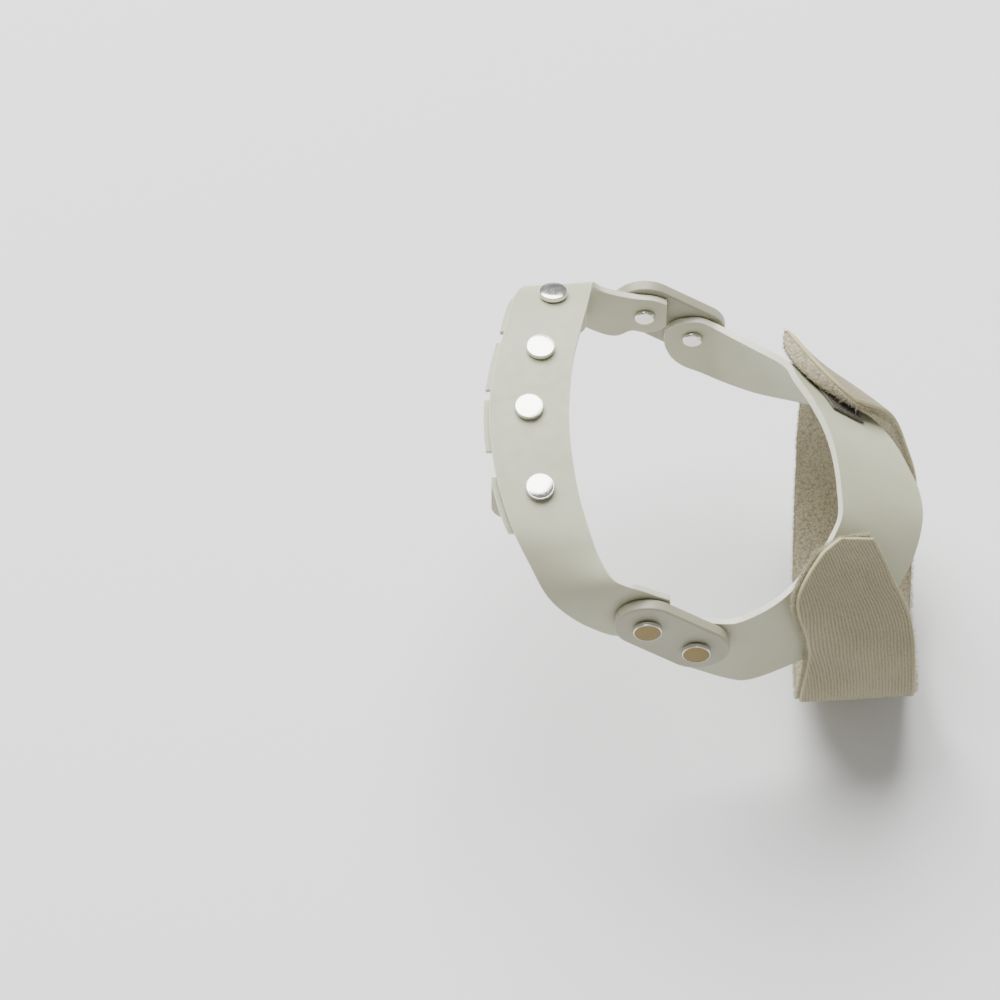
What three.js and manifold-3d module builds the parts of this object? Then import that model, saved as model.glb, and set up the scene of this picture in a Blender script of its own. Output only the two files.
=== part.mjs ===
// Hinged ulnar deviation splint, right-hand version, in millimetres, +Z up.
// The origin is in the middle of the splint's hollow, a little under its hinges.
// -X is distal, +X proximal, -Y the radial side and +Y the ulnar side.
import * as THREE from 'three';
import { mergeVertices } from 'three/addons/utils/BufferGeometryUtils.js';
import Module from 'manifold-3d';

const wasm = await Module();
wasm.setup();

// Driving sizes of the whole splint
const halfBreadth = 44.5;        // outer face of each side arm from the middle
const sheetThickness = 1.6;      // formed plastic sheet
const bandReach = 33.5;          // middle of the band's crown, distal of the hinges
const bandRise = 25.3;           // top of the band over the hinges
const bandWidth = 18.9;          // width of the band at its crown
const plateReach = 60.2;         // proximal edge of the plate
const plateRise = 15.3;          // distal edge of the plate over the hinges
const plateDrop = 20.8;          // lowest edge of the plate's arms under the hinges

// Hinges
const pivotSpacing = 14.7;
const pivotRise = 1.6;           // midpoint of the two pivots over the origin
const linkSlope = THREE.MathUtils.degToRad(38);
const linkThickness = 3;
const linkRadius = 7.9;
const linkEdgeRound = 0.5;
const armEndRadius = 6.9;

// Rivets
const shankRadius = 1.5;
const capRadius = 3.35;
const capHeight = 1.2;
const capEdgeRound = 0.3;
const backHeadRadius = 2.4;
const backHeadHeight = 0.8;
const rivetSides = 16;

// Finger separators
const separatorThickness = 1.2;
const separatorWidth = 18;
const separatorLip = 1.3;        // how far a flange shows past the band's distal edge
const flangeLength = 15;
const tongueDrop = 15;
const tongueBendRadius = 1.8;
const separatorCornerRadius = 5;

// Strap
const strapThickness = 2.6;
const strapWidth = 26.5;
const strapSetback = 28;         // distal edge of the strap, distal of the plate's proximal edge
const strapLoopDrop = 47.8;      // how far under the hinges the inside of the loop reaches
const hookThickness = 1;

const gap = 0.3;                 // clearance between neighbouring pieces

// Steps of the faceted sheets, along and across
const bandSteps = { along: 96, across: 2 };
const plateSteps = { along: 96, across: 3 };
const patchSteps = { along: 10, across: 4 };
const strapSteps = { along: 72, across: 6 };
const linkCurveSteps = 12;

// From a rivet's middle to its tongue, towards the ulnar side: the bend clears the back head.
const tongueOffset = backHeadRadius + gap + tongueBendRadius;
const pivotMiddle = new THREE.Vector2(0, pivotRise);
const halfLink = new THREE.Vector2(
  -pivotSpacing / 2 * Math.cos(linkSlope), pivotSpacing / 2 * Math.sin(linkSlope));
const bandPivot = pivotMiddle.clone().add(halfLink);
const platePivot = pivotMiddle.clone().sub(halfLink);

// Rows of the band from the radial side to the ulnar side. Each row is one section of the
// sheet: how far across it lies, and where its distal and proximal edges are.
// Columns: across in halfBreadth; distalX, proximalX in bandReach; distalZ, proximalZ in bandRise.
// The row at the crown, counted from 0, has the band's full width.
const bandCrownRow = 7;
const bandRows = [
  { across: -1.000, distalX: -0.387, distalZ: -0.084, proximalX: -0.151, proximalZ: 0.610 },
  { across: -0.998, distalX: -0.641, distalZ: 0.119, proximalX: -0.302, proximalZ: 0.711 },
  { across: -0.948, distalX: -0.866, distalZ: 0.399, proximalX: -0.418, proximalZ: 0.723 },
  { across: -0.816, distalX: -1.009, distalZ: 0.652, proximalX: -0.513, proximalZ: 0.753 },
  { across: -0.692, distalX: -1.104, distalZ: 0.792, proximalX: -0.573, proximalZ: 0.812 },
  { across: -0.427, distalX: -1.216, distalZ: 0.901, proximalX: -0.664, proximalZ: 0.901 },
  { across: -0.121, distalX: -1.279, distalZ: 0.976, proximalX: -0.715, proximalZ: 0.976 },
  { across: 0.112, distalX: -1.282, distalZ: 1.000, proximalX: -0.718, proximalZ: 1.000 },
  { across: 0.382, distalX: -1.234, distalZ: 0.996, proximalX: -0.688, proximalZ: 0.996 },
  { across: 0.566, distalX: -1.179, distalZ: 0.972, proximalX: -0.642, proximalZ: 0.972 },
  { across: 0.735, distalX: -1.136, distalZ: 0.921, proximalX: -0.596, proximalZ: 0.921 },
  { across: 0.874, distalX: -1.090, distalZ: 0.845, proximalX: -0.566, proximalZ: 0.858 },
  { across: 0.975, distalX: -1.020, distalZ: 0.690, proximalX: -0.543, proximalZ: 0.763 },
  { across: 1.000, distalX: -0.870, distalZ: 0.380, proximalX: -0.490, proximalZ: 0.645 },
  { across: 1.000, distalX: -0.641, distalZ: 0.099, proximalX: -0.373, proximalZ: 0.565 },
  { across: 1.000, distalX: -0.388, distalZ: -0.087, proximalX: -0.224, proximalZ: 0.506 },
];

// The band's arm ends, seen from the side: a round heel about the pivot and an ear above it.
// Columns: heelTurn in degrees round the pivot; earX and earZ from the pivot in armEndRadius.
const bandEndRows = {
  radial: [
    { heelTurn: -41, earX: 0.768, earZ: 0.97 },
    { heelTurn: -65, earX: 0.551, earZ: 1.09 },
    { heelTurn: -90, earX: 0.333, earZ: 1.20 },
    { heelTurn: -116, earX: 0.188, earZ: 1.29 },
  ],
  ulnar: [
    { heelTurn: -41, earX: 0.768, earZ: 0.63 },
    { heelTurn: -65, earX: 0.551, earZ: 0.77 },
    { heelTurn: -90, earX: 0.333, earZ: 0.87 },
    { heelTurn: -116, earX: 0.072, earZ: 0.93 },
  ],
};

// Rows of the plate from the radial side to the ulnar side.
// Columns: x in plateReach, y in halfBreadth, raised z in plateRise and lowered z in plateDrop.
const plateRows = [
  { distal: [0.125, -1.000, 0.225], proximal: [0.115, -1.000, -0.798] },
  { distal: [0.238, -1.000, 0.196], proximal: [0.277, -1.000, -1.000] },
  { distal: [0.355, -0.964, 0.359], proximal: [0.475, -0.921, -0.923] },
  { distal: [0.439, -0.903, 0.490], proximal: [0.598, -0.876, -0.745] },
  { distal: [0.522, -0.798, 0.621], proximal: [0.724, -0.809, -0.563] },
  { distal: [0.578, -0.717, 0.719], proximal: [0.822, -0.719, -0.409] },
  { distal: [0.630, -0.602, 0.817], proximal: [0.902, -0.607, -0.274] },
  { distal: [0.668, -0.476, 0.915], proximal: [0.963, -0.461, -0.120] },
  { distal: [0.666, -0.306, 0.980], proximal: [0.996, -0.270, 0.000] },
  { distal: [0.652, -0.115, 1.000], proximal: [0.986, -0.108, 0.014] },
  { distal: [0.622, 0.076, 0.980], proximal: [0.943, 0.067, 0.000] },
  { distal: [0.566, 0.292, 0.882], proximal: [0.885, 0.258, -0.058] },
  { distal: [0.505, 0.485, 0.719], proximal: [0.801, 0.449, -0.168] },
  { distal: [0.473, 0.629, 0.523], proximal: [0.698, 0.607, -0.433] },
  { distal: [0.355, 0.807, 0.261], proximal: [0.515, 0.787, -0.769] },
  { distal: [0.282, 0.900, 0.140], proximal: [0.360, 0.900, -0.940] },
  { distal: [0.194, 0.985, 0.100], proximal: [0.216, 0.990, -0.962] },
  { distal: [0.125, 1.000, 0.220], proximal: [0.115, 1.000, -0.798] },
];

// The plate's arm ends, round about the pivot and fuller underneath.
// Columns: turn in degrees from straight distal; upper and lower radius in armEndRadius.
const plateEndRows = [
  { turn: 12, upper: 1.00, lower: 1.02 },
  { turn: 35, upper: 1.00, lower: 1.12 },
  { turn: 60, upper: 0.96, lower: 1.40 },
  { turn: 80, upper: 0.92, lower: 1.72 },
];

// Where the two strap ends lie on the plate, and how far a corner curls off it.
// Columns: [row of the plate counted from 1, share of its width, lift in strapThickness].
const radialStrapSeats = [
  { distal: [7.01, -0.03, 0], middle: [7.42, 0.15, 0], proximal: [7.67, 0.32, 0] },
  { distal: [6.46, -0.13, 0], middle: [6.97, 0.19, 0], proximal: [7.41, 0.49, 0] },
  { distal: [5.77, -0.17, 0], middle: [6.45, 0.28, 0], proximal: [7.08, 0.69, 0] },
  { distal: [4.24, -0.06, 0.15], middle: [5.50, 0.46, 0.08], proximal: [6.76, 0.92, 0] },
];
const ulnarStrapSeats = [
  { distal: [14.59, 0.34, 0.19], middle: [13.61, 0.78, 0.12], proximal: [12.60, 1.04, -0.15] },
  { distal: [14.69, 0.17, 0.62], middle: [13.25, 0.46, 0.19], proximal: [12.45, 0.78, 0.08] },
  { distal: [14.88, 0.04, 1.62], middle: [13.08, 0.14, 0.35], proximal: [12.24, 0.48, 0.08] },
];
// The free stretches of the strap at the two sides, from the radial side.
// Columns: [x in strapWidth from its distal edge, y in halfBreadth, z in strapLoopDrop].
const strapSideRows = {
  radial: [
    {
      distal: [-0.060, -0.895, -0.066],
      middle: [0.390, -0.810, -0.139],
      proximal: [0.835, -0.690, -0.204],
    },
    {
      distal: [0.000, -0.879, -0.250],
      middle: [0.460, -0.840, -0.286],
      proximal: [0.920, -0.773, -0.328],
    },
  ],
  ulnar: [
    {
      distal: [-0.038, 0.812, -0.340],
      middle: [0.405, 0.620, -0.340],
      proximal: [0.860, 0.355, -0.352],
    },
  ],
};
// The two edges of the loop under the splint are half ellipses.
// Columns: x in strapWidth from its distal edge; middle and half width in halfBreadth; level of its
// widest place and depth in strapLoopDrop.
const strapLoopEdges = {
  distal: { x: -0.055, middle: -0.085, halfWidth: 0.782, level: -0.577, depth: 0.423 },
  proximal: { x: 0.980, middle: -0.245, halfWidth: 0.569, level: -0.577, depth: 0.400 },
};
const strapLoopTurns = [185, 208, 232, 257, 283, 308, 332, 355];

// Hook patches on the plate under the strap ends.
// Columns: rows of the plate counted from 1; shares of its width.
const hookPatches = {
  radial: { firstRow: 5.0, lastRow: 6.9, distalShare: 0.15, proximalShare: 0.75 },
  ulnar: { firstRow: 12.0, lastRow: 14.6, distalShare: 0.24, proximalShare: 0.62 },
};

// Rivets of the separators, from the radial side to the ulnar side.
// Columns: across in halfBreadth; share of the band's width from its distal edge.
const fingerRivets = [
  { across: -0.436, share: 0.52 },
  { across: 0.043, share: 0.50 },
  { across: 0.434, share: 0.55 },
  { across: 0.836, share: 0.52 },
];

// Materials
const plastic = new THREE.MeshStandardMaterial({ color: 0xb9b8ac, roughness: 0.55, metalness: 0 });
const knit = new THREE.MeshStandardMaterial({ color: 0x9a9079, roughness: 0.95, metalness: 0 });
const hook = new THREE.MeshStandardMaterial({ color: 0x6f6a5c, roughness: 0.9, metalness: 0 });
const nickel = new THREE.MeshStandardMaterial({ color: 0xc9c6bd, roughness: 0.25, metalness: 1 });

const splint = new THREE.Group();

function addMesh(name, geometry, material) {
  const mesh = new THREE.Mesh(geometry, material);
  mesh.name = name;
  splint.add(mesh);
  return mesh;
}

// A smooth rail through one point of every row, read by a row number that need not be whole.
// Past its ends it runs straight on.
function rail(points) {
  const curve = new THREE.CatmullRomCurve3(points, false, 'centripetal');
  const last = points.length - 1;
  return (row) => curve.getPoint(THREE.MathUtils.clamp(row / last, 0, 1));
}

// A surface between a distal and a proximal rail: (row, share of the width) to a point.
function ruledSurface(distalPoints, proximalPoints) {
  const distal = rail(distalPoints);
  const proximal = rail(proximalPoints);
  return (row, share) => distal(row).lerp(proximal(row), share);
}

// A surface through three rails, bowed between its edges.
function bowedSurface(distalPoints, middlePoints, proximalPoints) {
  const distal = rail(distalPoints);
  const middle = rail(middlePoints);
  const proximal = rail(proximalPoints);
  return (row, share) => new THREE.Vector3()
    .addScaledVector(distal(row), (1 - share) * (1 - 2 * share))
    .addScaledVector(middle(row), 4 * share * (1 - share))
    .addScaledVector(proximal(row), share * (2 * share - 1));
}

// The outward normal of a surface; side is 1 where the rows run from the radial to the ulnar side
// over the top, and -1 where they run round underneath.
function normalAt(surface, row, share, lastRow, side) {
  const step = 0.02;
  const low = Math.max(row - step, 0);
  const high = Math.min(row + step, lastRow);
  const along = surface(high, share).sub(surface(low, share));
  const across = surface(row, share + step).sub(surface(row, share - step));
  return across.cross(along).multiplyScalar(side).normalize();
}

// A closed sheet that lies between two offsets from a surface. place(u, v) turns the sheet's own
// shares, along and across, into a row and a share of the surface.
function sheetGeometry({ surface, lastRow, side = 1, top, bottom, along, across, place }) {
  const positions = [];
  const indices = [];
  for (const offset of [top, bottom]) {
    for (let i = 0; i <= along; i += 1) {
      for (let j = 0; j <= across; j += 1) {
        const [row, share] = place(i / along, j / across);
        const normal = normalAt(surface, row, share, lastRow, side);
        const point = surface(row, share).addScaledVector(normal, offset);
        positions.push(point.x, point.y, point.z);
      }
    }
  }
  const layer = (along + 1) * (across + 1);
  const at = (i, j, level) => level * layer + i * (across + 1) + j;
  const quad = (a, b, c, d) => indices.push(a, b, c, a, c, d);
  for (let i = 0; i < along; i += 1) {
    for (let j = 0; j < across; j += 1) {
      quad(at(i, j, 0), at(i, j + 1, 0), at(i + 1, j + 1, 0), at(i + 1, j, 0));
      quad(at(i, j, 1), at(i + 1, j, 1), at(i + 1, j + 1, 1), at(i, j + 1, 1));
    }
    quad(at(i, 0, 0), at(i + 1, 0, 0), at(i + 1, 0, 1), at(i, 0, 1));
    quad(at(i, across, 0), at(i, across, 1), at(i + 1, across, 1), at(i + 1, across, 0));
  }
  for (let j = 0; j < across; j += 1) {
    quad(at(0, j, 0), at(0, j, 1), at(0, j + 1, 1), at(0, j + 1, 0));
    quad(at(along, j, 0), at(along, j + 1, 0), at(along, j + 1, 1), at(along, j, 1));
  }
  if (side < 0) indices.reverse();
  const geometry = new THREE.BufferGeometry();
  geometry.setAttribute('position', new THREE.Float32BufferAttribute(positions, 3));
  geometry.setIndex(indices);
  return geometry;
}

function toSolid(geometry) {
  const bare = geometry.clone();
  bare.deleteAttribute('normal');
  bare.deleteAttribute('uv');
  const merged = mergeVertices(bare, 1e-4);
  return new wasm.Manifold(new wasm.Mesh({
    numProp: 3,
    vertProperties: new Float32Array(merged.attributes.position.array),
    triVerts: new Uint32Array(merged.index.array),
  }));
}

function toGeometry(solid) {
  const mesh = solid.getMesh();
  const geometry = new THREE.BufferGeometry();
  geometry.setAttribute('position', new THREE.Float32BufferAttribute(mesh.vertProperties, 3));
  geometry.setIndex(new THREE.Uint32BufferAttribute(mesh.triVerts, 1));
  geometry.computeVertexNormals();
  return geometry;
}

// Round holes through a piece, each given by its middle and its direction.
function drill(geometry, holes) {
  let solid = toSolid(geometry);
  for (const { middle, direction } of holes) {
    const reach = 2 * (sheetThickness + linkThickness);
    const cutter = new THREE.CylinderGeometry(
      shankRadius + gap, shankRadius + gap, reach, rivetSides);
    cutter.applyQuaternion(new THREE.Quaternion().setFromUnitVectors(
      new THREE.Vector3(0, 1, 0), direction));
    cutter.translate(middle.x, middle.y, middle.z);
    solid = solid.subtract(toSolid(cutter));
  }
  return toGeometry(solid);
}

// Band: a bent strip with flat side arms
const ySide = { radial: -halfBreadth, ulnar: halfBreadth };

function bandEndPoints(side) {
  return bandEndRows[side].map(({ heelTurn, earX, earZ }) => {
    const turn = THREE.MathUtils.degToRad(heelTurn);
    return {
      distal: new THREE.Vector3(
        bandPivot.x + armEndRadius * Math.cos(turn), ySide[side],
        bandPivot.y + armEndRadius * Math.sin(turn)),
      proximal: new THREE.Vector3(
        bandPivot.x + armEndRadius * earX, ySide[side], bandPivot.y + armEndRadius * earZ),
    };
  });
}

const bandSections = [
  ...bandEndPoints('radial'),
  ...bandRows.map(({ across, distalX, distalZ, proximalX, proximalZ }) => {
    const crown = bandRows[bandCrownRow];
    const middleX = bandReach * (distalX + proximalX) / 2;
    const halfX = bandWidth / 2 * (proximalX - distalX) / (crown.proximalX - crown.distalX);
    return {
      distal: new THREE.Vector3(middleX - halfX, halfBreadth * across, bandRise * distalZ),
      proximal: new THREE.Vector3(middleX + halfX, halfBreadth * across, bandRise * proximalZ),
    };
  }),
  ...bandEndPoints('ulnar').reverse(),
];
const bandLastRow = bandSections.length - 1;
const bandRuled = ruledSurface(bandSections.map((s) => s.distal), bandSections.map((s) => s.proximal));
const withinBreadth = (point) => {
  point.y = THREE.MathUtils.clamp(point.y, -halfBreadth, halfBreadth);
  return point;
};
const bandSurface = (row, share) => withinBreadth(bandRuled(row, share));

// The row of the band whose middle lies at a given place across the splint.
function bandRowAt(y) {
  let low = bandEndRows.radial.length;
  let high = bandLastRow - bandEndRows.ulnar.length;
  for (let pass = 0; pass < 40; pass += 1) {
    const middle = (low + high) / 2;
    if (bandSurface(middle, 0.5).y < y) low = middle;
    else high = middle;
  }
  return (low + high) / 2;
}

const fingerSeats = fingerRivets.map(({ across, share }) => {
  const row = bandRowAt(halfBreadth * across);
  return {
    row,
    middle: bandSurface(row, share),
    direction: normalAt(bandSurface, row, share, bandLastRow, 1),
  };
});

const pivotHole = (pivot, side) => ({
  middle: new THREE.Vector3(pivot.x, ySide[side], pivot.y),
  direction: new THREE.Vector3(0, 1, 0),
});

addMesh('finger_band', drill(
  sheetGeometry({
    surface: bandSurface, lastRow: bandLastRow, top: 0, bottom: -sheetThickness,
    ...bandSteps, place: (u, v) => [u * bandLastRow, v],
  }),
  [...fingerSeats, pivotHole(bandPivot, 'radial'), pivotHole(bandPivot, 'ulnar')],
), plastic);

// Plate: a crescent across the top with flat side arms
function platePoint([x, y, z]) {
  const height = z < 0 ? z * plateDrop : z * plateRise;
  return new THREE.Vector3(plateReach * x, halfBreadth * y, height);
}

function plateEndPoints(side) {
  return plateEndRows.map(({ turn, upper, lower }) => {
    const angle = THREE.MathUtils.degToRad(turn);
    const edge = (radius, sign) => new THREE.Vector3(
      platePivot.x - armEndRadius * radius * Math.cos(angle), ySide[side],
      platePivot.y + sign * armEndRadius * radius * Math.sin(angle));
    return { distal: edge(upper, 1), proximal: edge(lower, -1) };
  });
}

const plateSections = [
  ...plateEndPoints('radial'),
  ...plateRows.map(({ distal, proximal }) => ({
    distal: platePoint(distal), proximal: platePoint(proximal),
  })),
  ...plateEndPoints('ulnar').reverse(),
];
const plateLastRow = plateSections.length - 1;
const plateRuled = ruledSurface(
  plateSections.map((s) => s.distal), plateSections.map((s) => s.proximal));
const plateSurface = (row, share) => withinBreadth(plateRuled(row, share));

addMesh('wrist_plate', drill(
  sheetGeometry({
    surface: plateSurface, lastRow: plateLastRow, top: 0, bottom: -sheetThickness,
    ...plateSteps, place: (u, v) => [u * plateLastRow, v],
  }),
  [pivotHole(platePivot, 'radial'), pivotHole(platePivot, 'ulnar')],
), plastic);

// Links: capsules on the outer faces of the arms
function linkGeometry(side) {
  const outline = new THREE.Shape();
  const radius = linkRadius - linkEdgeRound;
  const half = pivotSpacing / 2;
  outline.absarc(half, 0, radius, -Math.PI / 2, Math.PI / 2, false);
  outline.absarc(-half, 0, radius, Math.PI / 2, 3 * Math.PI / 2, false);
  const geometry = new THREE.ExtrudeGeometry(outline, {
    depth: linkThickness - 2 * linkEdgeRound, curveSegments: linkCurveSteps,
    bevelEnabled: true, bevelThickness: linkEdgeRound, bevelSize: linkEdgeRound, bevelSegments: 2,
  });
  geometry.translate(0, 0, linkEdgeRound);
  // The capsule is drawn lengthwise along X and swung down proximally, its depth along Y.
  geometry.rotateX(Math.PI / 2);
  geometry.rotateY(linkSlope);
  const innerY = side === 'radial' ? -(halfBreadth + gap) : halfBreadth + gap + linkThickness;
  geometry.translate(0, innerY, pivotRise);
  return drill(geometry, [pivotHole(bandPivot, side), pivotHole(platePivot, side)]);
}

// Rivet: a low cap, a shank through the stack and a back head, on its own axis with the cap up.
// Level 0 is the face that the cap sits on.
function rivetGeometry(grip) {
  const capFoot = gap;
  const headTop = -(grip + gap);
  const capTop = capFoot + capHeight;
  const headFoot = headTop - backHeadHeight;
  const midRound = capEdgeRound * (1 - Math.SQRT1_2);
  return toGeometry(toSolid(new THREE.LatheGeometry([
    new THREE.Vector2(0, headFoot),
    new THREE.Vector2(backHeadRadius - backHeadHeight / 2, headFoot),
    new THREE.Vector2(backHeadRadius, headFoot + backHeadHeight / 2),
    new THREE.Vector2(backHeadRadius, headTop),
    new THREE.Vector2(shankRadius, headTop),
    new THREE.Vector2(shankRadius, capFoot),
    new THREE.Vector2(capRadius, capFoot),
    new THREE.Vector2(capRadius, capTop - capEdgeRound),
    new THREE.Vector2(capRadius - midRound, capTop - midRound),
    new THREE.Vector2(capRadius - capEdgeRound, capTop),
    new THREE.Vector2(0, capTop),
  ], rivetSides)));
}

function addRivet(name, grip, middle, direction) {
  const rivet = addMesh(name, rivetGeometry(grip), nickel);
  rivet.position.copy(middle);
  rivet.quaternion.setFromUnitVectors(new THREE.Vector3(0, 1, 0), direction);
}

const linkGrip = linkThickness + gap + sheetThickness;
for (const side of ['radial', 'ulnar']) {
  addMesh(`${side}_link`, linkGeometry(side), plastic);
  const outward = new THREE.Vector3(0, Math.sign(ySide[side]), 0);
  const capSeat = ySide[side] + Math.sign(ySide[side]) * (gap + linkThickness);
  for (const [name, pivot] of [['band', bandPivot], ['plate', platePivot]]) {
    const middle = new THREE.Vector3(pivot.x, capSeat, pivot.y);
    addRivet(`${side}_${name}_rivet`, linkGrip, middle, outward);
  }
}

// Separators: a flange under the band and a tongue down from it
const flangeSteps = 6;
const bendSteps = 4;
const cornerSteps = 5;

// One edge of a separator, at a share of the band's width: under the band towards the ulnar
// side, round the bend and down the tongue.
function separatorEdge(seat, share) {
  const tongueY = seat.middle.y + tongueOffset - tongueBendRadius;
  const firstRow = bandRowAt(tongueY + tongueBendRadius - flangeLength);
  const bendRow = bandRowAt(tongueY);
  const path = [];
  for (let step = 0; step <= flangeSteps; step += 1) {
    const row = firstRow + (bendRow - firstRow) * step / flangeSteps;
    const normal = normalAt(bandSurface, row, share, bandLastRow, 1);
    path.push(bandSurface(row, share).addScaledVector(normal, -(sheetThickness + gap)));
  }
  const start = path[flangeSteps];
  const heading = start.clone().sub(path[flangeSteps - 1]);
  const slope = Math.atan2(heading.z, heading.y);
  const bent = (angle) => new THREE.Vector3(
    start.x,
    start.y + tongueBendRadius * (Math.sin(slope) - Math.sin(angle)),
    start.z + tongueBendRadius * (Math.cos(angle) - Math.cos(slope)));
  for (let step = 1; step <= bendSteps; step += 1) {
    path.push(bent(slope + (-Math.PI / 2 - slope) * step / bendSteps));
  }
  const foot = path[path.length - 1];
  for (let step = 0; step <= cornerSteps; step += 1) {
    const turn = step / cornerSteps * Math.PI / 2;
    const drop = tongueDrop - separatorCornerRadius * (1 - Math.sin(turn));
    path.push(new THREE.Vector3(foot.x, foot.y, foot.z - drop));
  }
  return path;
}

function separatorGeometry(seat) {
  const bandWidthHere = bandSurface(seat.row, 0).distanceTo(bandSurface(seat.row, 1));
  const distal = separatorEdge(seat, -separatorLip / bandWidthHere);
  const proximal = separatorEdge(seat, (separatorWidth - separatorLip) / bandWidthHere);
  const lastRow = distal.length - 1;
  // The tongue's lower corners are round: its edges draw in over the last rows.
  const inset = (row) => {
    const rise = Math.min((lastRow - row) / cornerSteps, 1);
    return separatorCornerRadius / separatorWidth * (1 - Math.sin(rise * Math.PI / 2));
  };
  const between = (points, row) => {
    const index = THREE.MathUtils.clamp(Math.floor(row), 0, lastRow - 1);
    return points[index].clone().lerp(points[index + 1], row - index);
  };
  const surface = (row, share) => between(distal, row).lerp(between(proximal, row), share);
  return sheetGeometry({
    surface, lastRow, top: 0, bottom: -separatorThickness, along: lastRow, across: 2,
    place: (u, v) => {
      const row = u * lastRow;
      return [row, inset(row) + v * (1 - 2 * inset(row))];
    },
  });
}

fingerSeats.forEach((seat, index) => {
  const number = index + 1;
  addMesh(`finger_separator_${number}`, drill(separatorGeometry(seat), [seat]), plastic);
  const grip = sheetThickness + gap + separatorThickness;
  addRivet(`finger_rivet_${number}`, grip, seat.middle, seat.direction);
});

// Hook patches: stuck on the plate's outer face
const plateRowOf = (row) => row + plateEndRows.length - 1;

for (const [side, patch] of Object.entries(hookPatches)) {
  addMesh(`${side}_hook_patch`, sheetGeometry({
    surface: plateSurface, lastRow: plateLastRow, top: gap + hookThickness, bottom: gap,
    ...patchSteps,
    place: (u, v) => [
      plateRowOf(THREE.MathUtils.lerp(patch.firstRow, patch.lastRow, u)),
      THREE.MathUtils.lerp(patch.distalShare, patch.proximalShare, v),
    ],
  }), hook);
}

// Strap: it follows the plate's outer face at its ends and goes round underneath between them,
// everywhere clear of that face by a hook patch and two gaps
const strapFoot = gap + hookThickness + gap;
const strapDistalX = plateReach - strapSetback;

function seatPoint([row, share, lift]) {
  const plateRow = plateRowOf(row);
  const normal = normalAt(plateSurface, plateRow, share, plateLastRow, 1);
  return plateSurface(plateRow, share).addScaledVector(normal, strapThickness * lift);
}

const sidePoint = ([x, y, z]) => new THREE.Vector3(
  strapDistalX + strapWidth * x, halfBreadth * y, strapLoopDrop * z);

function loopPoint(turn, { x, middle, halfWidth, level, depth }) {
  const angle = THREE.MathUtils.degToRad(turn);
  return new THREE.Vector3(
    strapDistalX + strapWidth * x,
    halfBreadth * (middle + halfWidth * Math.cos(angle)),
    strapLoopDrop * (level + depth * Math.sin(angle)));
}

const placeRow = (row, point) => ({
  distal: point(row.distal), middle: point(row.middle), proximal: point(row.proximal),
});

const strapRows = [
  ...radialStrapSeats.map((row) => placeRow(row, seatPoint)),
  ...strapSideRows.radial.map((row) => placeRow(row, sidePoint)),
  ...strapLoopTurns.map((turn) => {
    const distal = loopPoint(turn, strapLoopEdges.distal);
    const proximal = loopPoint(turn, strapLoopEdges.proximal);
    return { distal, middle: distal.clone().lerp(proximal, 0.5), proximal };
  }),
  ...strapSideRows.ulnar.map((row) => placeRow(row, sidePoint)),
  ...ulnarStrapSeats.map((row) => placeRow(row, seatPoint)),
];
const strapLastRow = strapRows.length - 1;
const strapSurface = bowedSurface(
  strapRows.map((row) => row.distal),
  strapRows.map((row) => row.middle),
  strapRows.map((row) => row.proximal));

addMesh('wrist_strap', sheetGeometry({
  surface: strapSurface, lastRow: strapLastRow, side: -1,
  top: strapFoot + strapThickness, bottom: strapFoot,
  ...strapSteps, place: (u, v) => [u * strapLastRow, v],
}), knit);

export default splint;
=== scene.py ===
import math

import bpy
import numpy as np
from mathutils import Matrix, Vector
from mathutils.kdtree import KDTree


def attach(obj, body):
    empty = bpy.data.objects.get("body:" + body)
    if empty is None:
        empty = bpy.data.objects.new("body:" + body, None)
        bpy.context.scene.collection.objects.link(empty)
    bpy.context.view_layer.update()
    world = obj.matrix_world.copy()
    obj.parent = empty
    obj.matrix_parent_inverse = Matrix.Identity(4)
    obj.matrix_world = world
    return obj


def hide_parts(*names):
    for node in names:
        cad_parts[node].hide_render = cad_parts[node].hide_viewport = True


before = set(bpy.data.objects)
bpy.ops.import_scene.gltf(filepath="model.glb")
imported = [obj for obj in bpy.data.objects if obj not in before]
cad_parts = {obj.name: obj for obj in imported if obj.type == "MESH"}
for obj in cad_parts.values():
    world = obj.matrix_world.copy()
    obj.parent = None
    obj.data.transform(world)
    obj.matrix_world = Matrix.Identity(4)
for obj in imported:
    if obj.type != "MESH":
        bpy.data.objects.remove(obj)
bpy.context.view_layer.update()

# Wrist plate: a crescent of 1.6 mm grey-green plastic sheet across the proximal end, cut out flat,
# warmed and bent, with an arm down each side to the hinges. Its cut edges are paler, partly in
# their own tone and partly with a painted highlight.
HALF_BREADTH = 0.0445
SHEET_THICKNESS = 0.0016
PLATE_REACH = 0.0602
PLATE_RISE = 0.0153
PLATE_DROP = 0.0208
PIVOT_SPACING = 0.0147
PIVOT_RISE = 0.0016
LINK_SLOPE = math.radians(38)
ARM_END_RADIUS = 0.0069
GAP = 0.0003
SIDES = {"radial": -1, "ulnar": 1}
EDGE_ROUND = 0.0006
EDGE_SEGMENTS = 4
SHARP_TURN = math.radians(50)
SLOPE_STEP = 0.02
PLATE_GRID = (260, 14)

half_link = (-PIVOT_SPACING / 2 * math.cos(LINK_SLOPE), PIVOT_SPACING / 2 * math.sin(LINK_SLOPE))
band_pivot = (half_link[0], PIVOT_RISE + half_link[1])
plate_pivot = (-half_link[0], PIVOT_RISE - half_link[1])

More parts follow.
